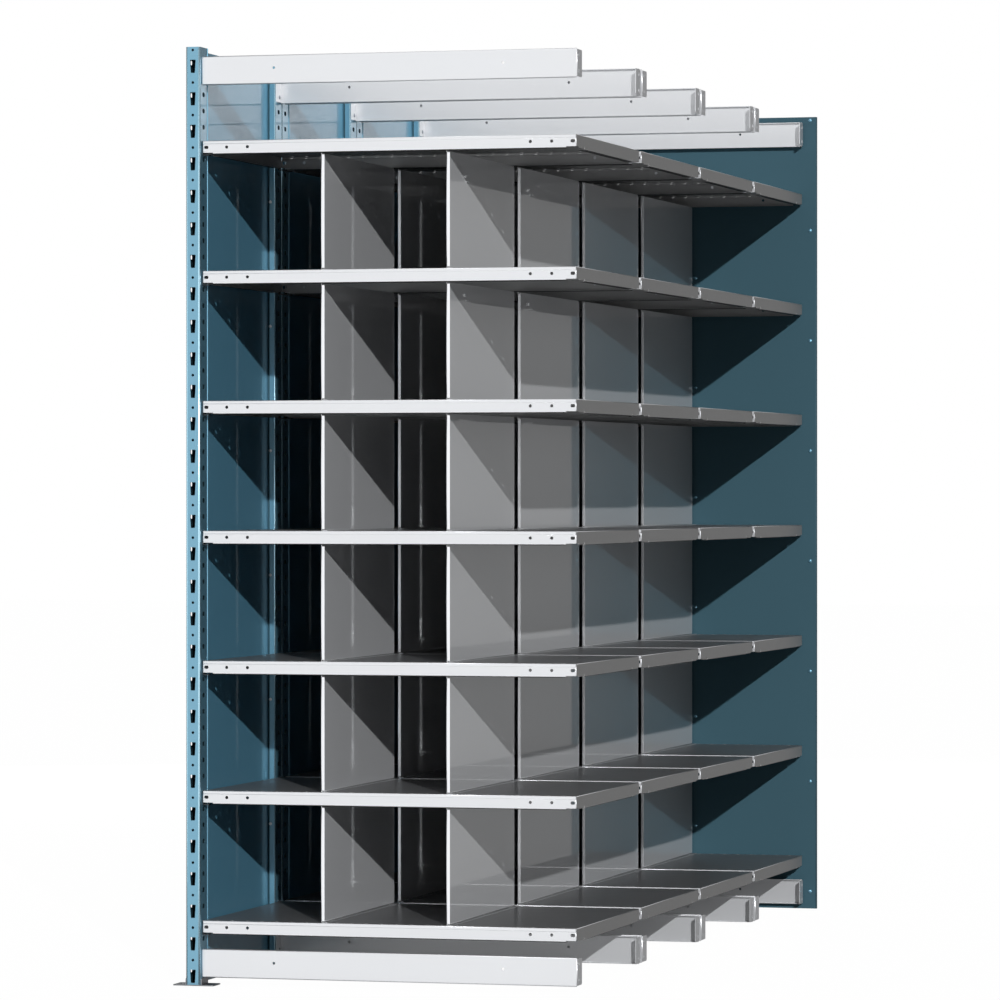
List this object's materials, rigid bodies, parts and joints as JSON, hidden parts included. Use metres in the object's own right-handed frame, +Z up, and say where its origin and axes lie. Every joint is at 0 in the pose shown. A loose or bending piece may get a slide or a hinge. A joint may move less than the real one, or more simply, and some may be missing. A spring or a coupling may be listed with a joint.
{
  "type": "bin shelving unit",
  "caption": "Deep add-on bay of steel bin shelving: blue punched posts, side and back panels on one side, pale box-formed shelves, bin dividers and channel beams.",
  "frame": {"origin": "on the floor, below the middle of the outer box", "axes": "+Z up, the bins open towards -Y, +X to the right along the shelf fronts"},
  "size_m": [1.0126, 2.552, 2.2018],
  "materials": {
    "blue_paint": "gloss",
    "pale_paint": "gloss",
    "zinc": "satin"
  },
  "bodies": {
    "root": {"post_front_1": "blue_paint", "post_rear_1": "blue_paint", "post_front_2": "blue_paint", "post_rear_2": "blue_paint", "post_front_3": "blue_paint", "post_rear_3": "blue_paint", "post_front_4": "blue_paint", "post_rear_4": "blue_paint", "foot_plates": "zinc", "side_panel_1": "blue_paint", "side_panel_2": "blue_paint", "side_panel_3": "blue_paint", "side_panel_4": "blue_paint", "back_panel": "blue_paint", "shelf_row1_level1": "pale_paint", "shelf_row1_level2": "pale_paint", "shelf_row1_level3": "pale_paint", "shelf_row1_level4": "pale_paint", "shelf_row1_level5": "pale_paint", "shelf_row1_level6": "pale_paint", "shelf_row1_level7": "pale_paint", "shelf_row2_level1": "pale_paint", "shelf_row2_level2": "pale_paint", "shelf_row2_level3": "pale_paint", "shelf_row2_level4": "pale_paint", "shelf_row2_level5": "pale_paint", "shelf_row2_level6": "pale_paint", "shelf_row2_level7": "pale_paint", "shelf_row3_level1": "pale_paint", "shelf_row3_level2": "pale_paint", "shelf_row3_level3": "pale_paint", "shelf_row3_level4": "pale_paint", "shelf_row3_level5": "pale_paint", "shelf_row3_level6": "pale_paint", "shelf_row3_level7": "pale_paint", "shelf_row4_level1": "pale_paint", "shelf_row4_level2": "pale_paint", "shelf_row4_level3": "pale_paint", "shelf_row4_level4": "pale_paint", "shelf_row4_level5": "pale_paint", "shelf_row4_level6": "pale_paint", "shelf_row4_level7": "pale_paint", "shelf_clips": "zinc", "dividers_row1_line1": "pale_paint", "dividers_row1_line2": "pale_paint", "dividers_row2_line1": "pale_paint", "dividers_row2_line2": "pale_paint", "dividers_row3_line1": "pale_paint", "dividers_row3_line2": "pale_paint", "dividers_row4_line1": "pale_paint", "dividers_row4_line2": "pale_paint", "base_beams_1": "pale_paint", "top_beams_1": "pale_paint", "base_beams_2": "pale_paint", "top_beams_2": "pale_paint", "base_beams_3": "pale_paint", "top_beams_3": "pale_paint", "base_beams_4": "pale_paint", "top_beams_4": "pale_paint"}
  },
  "joints": []
}
